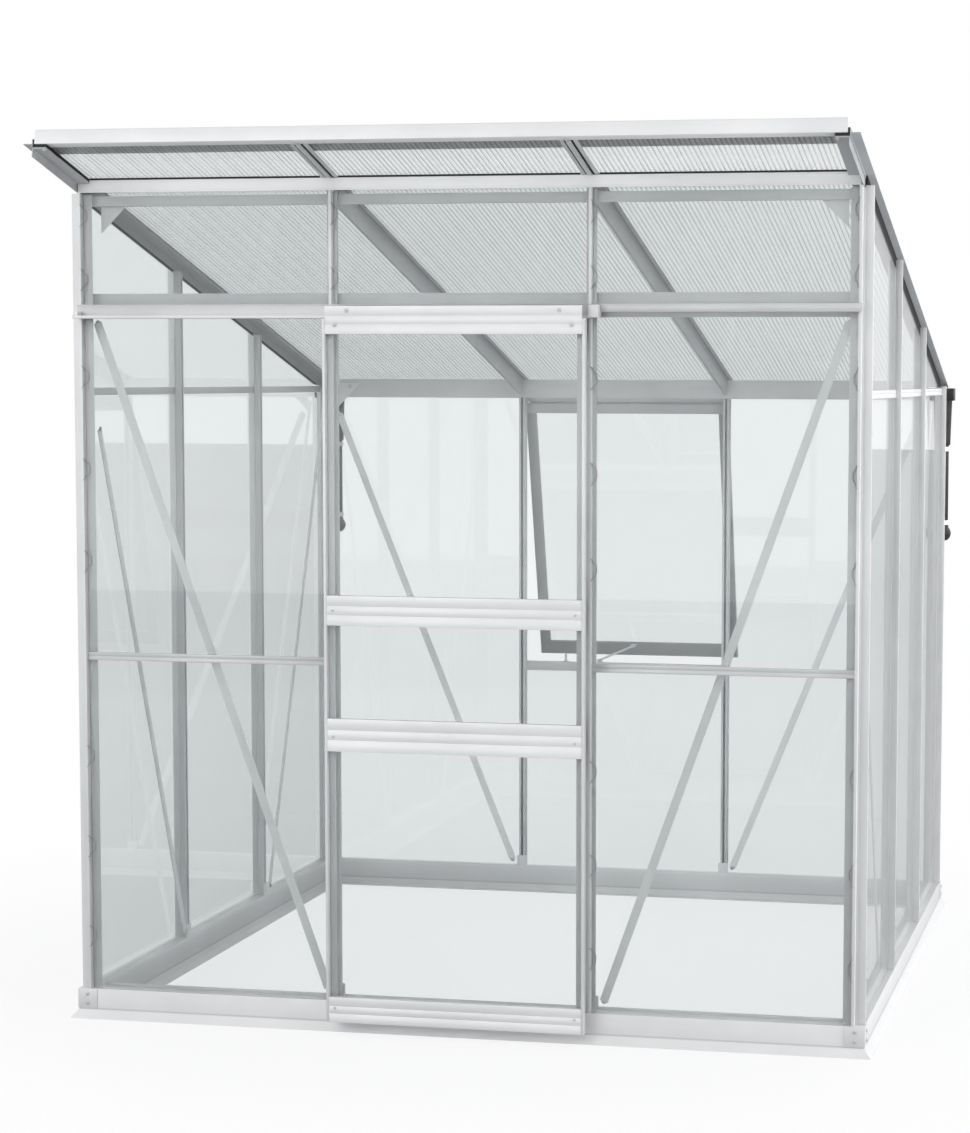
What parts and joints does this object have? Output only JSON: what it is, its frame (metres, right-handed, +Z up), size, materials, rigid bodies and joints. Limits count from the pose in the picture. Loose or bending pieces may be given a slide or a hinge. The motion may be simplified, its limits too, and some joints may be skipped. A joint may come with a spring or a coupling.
{
  "type": "lean-to greenhouse",
  "caption": "Free-standing aluminium greenhouse with a mono-pitch roof, glazed walls, a sliding front door, a top-hung rear window and a rear gutter with downpipes.",
  "frame": {"origin": "centre of the anchor bolt pattern, on the ground under the base", "axes": "+Z up, -Y out of the front with the door, +X to the right seen from the front"},
  "size_m": [1.95, 2.3952, 2.1107],
  "materials": {
    "aluminium": "satin mill finish",
    "glass": "clear",
    "roof_sheet": "clear ribbed multiwall sheet",
    "seal": "matt black",
    "black_plastic": "matt",
    "white_plastic": "satin",
    "fixings": "bright zinc"
  },
  "bodies": {
    "frame": {"base_sill_front": "aluminium", "base_sill_rear": "aluminium", "base_sill_left": "aluminium", "base_sill_right": "aluminium", "base_corner_angles": "aluminium", "corner_post_front_left": "aluminium", "corner_post_front_right": "aluminium", "corner_post_rear_left": "aluminium", "corner_post_rear_right": "aluminium", "door_jambs": "aluminium", "side_bars": "aluminium", "rear_bars": "aluminium", "transom_cover_rail": "aluminium", "front_cross_beams": "aluminium", "head_rail": "aluminium", "front_glazing_rails": "aluminium", "door_track": "aluminium", "eave_glazing_rails": "aluminium", "window_sill_rail": "aluminium", "rear_eave_rail": "aluminium", "rafters_middle": "aluminium", "rafters_end": "aluminium", "verges": "aluminium", "roof_front_edge": "aluminium", "rear_gutter": "aluminium", "braces_front": "aluminium", "braces_rear": "aluminium", "braces_sides": "aluminium", "gussets_and_foot_brackets": "aluminium", "window_hinge_bar": "aluminium", "stay_pegs": "aluminium", "track_end_stops": "aluminium", "roof_panels": "roof_sheet", "roof_seals": "seal", "gutter_outlets": "black_plastic", "downpipes": "black_plastic", "pipe_clips": "white_plastic", "glass_front": "glass", "glass_left": "glass", "glass_right": "glass", "glass_rear": "glass", "frame_bolts": "fixings", "glazing_clips": "fixings"},
    "door": {"door_stile_left": "aluminium", "door_stile_right": "aluminium", "door_top_rail": "aluminium", "door_middle_rails": "aluminium", "door_bottom_rail": "aluminium", "door_glass": "glass", "door_roller_pins": "fixings", "door_bottom_guides": "white_plastic", "door_screws": "fixings"},
    "roller_left": {"door_roller_left": "white_plastic"},
    "roller_right": {"door_roller_right": "white_plastic"},
    "window": {"window_head_rail": "aluminium", "window_stiles_and_bottom_rail": "aluminium", "window_glass": "glass", "window_stay_bracket": "aluminium"},
    "stay": {"window_stay_arm": "aluminium"}
  },
  "joints": [
    {"name": "door_slide", "type": "slide", "parent": "frame", "child": "door", "axis": [-1, 0, 0], "range_m": [0, 0.6]},
    {"name": "roller_left_spin", "type": "hinge", "parent": "door", "child": "roller_left", "pos_m": [-0.25, -0.982, 1.6991], "axis": [0, -1, 0], "range_deg": [0, 3520]},
    {"name": "roller_right_spin", "type": "hinge", "parent": "door", "child": "roller_right", "pos_m": [0.25, -0.982, 1.6991], "axis": [0, -1, 0], "range_deg": [0, 3520]},
    {"name": "window_hinge", "type": "hinge", "parent": "frame", "child": "window", "pos_m": [0, 0.9645, 1.482], "axis": [1, 0, 0], "range_deg": [-15, 30]},
    {"name": "stay_swing", "type": "hinge", "parent": "window", "child": "stay", "pos_m": [-0.015, 1.14309, 0.72855], "axis": [0.0333, 0.11, -0.9934], "range_deg": [-20, 66]}
  ],
  "couplings": [
    {"joint": "roller_left_spin", "follows": "door_slide", "rad_per_m": 102.04},
    {"joint": "roller_right_spin", "follows": "door_slide", "rad_per_m": 102.04}
  ]
}
